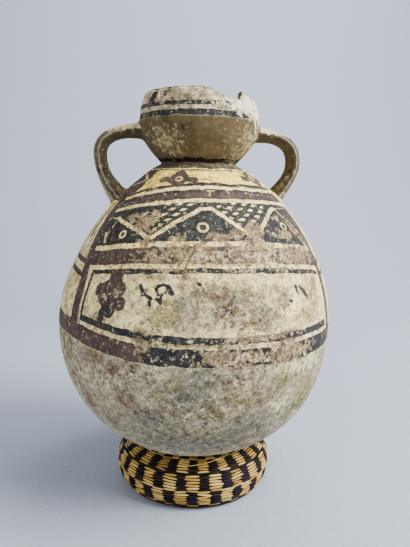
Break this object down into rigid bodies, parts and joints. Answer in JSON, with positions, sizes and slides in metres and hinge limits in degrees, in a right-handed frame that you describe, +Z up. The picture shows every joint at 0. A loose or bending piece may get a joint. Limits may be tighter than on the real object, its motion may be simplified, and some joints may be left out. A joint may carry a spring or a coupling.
{
  "type": "two-handled vase",
  "caption": "Round-bodied painted clay vase with strap handles and a cup-shaped mouth, standing in a woven fibre ring.",
  "frame": {"origin": "centre of the ring's flat underside, on the surface that it stands on, under the middle of the mouth", "axes": "+Z up along the jar's turned axis; the handles lie along +X and -X; -Y is the side that the picture shows"},
  "size_m": [0.2156, 0.2156, 0.3092],
  "materials": {
    "clay": "matte, low-fired clay under worn slip paint",
    "fibre": "matte, twined plant fibre strips, plain and dyed"
  },
  "bodies": {
    "root": {"vase": "clay", "woven_ring": "fibre"}
  },
  "joints": []
}
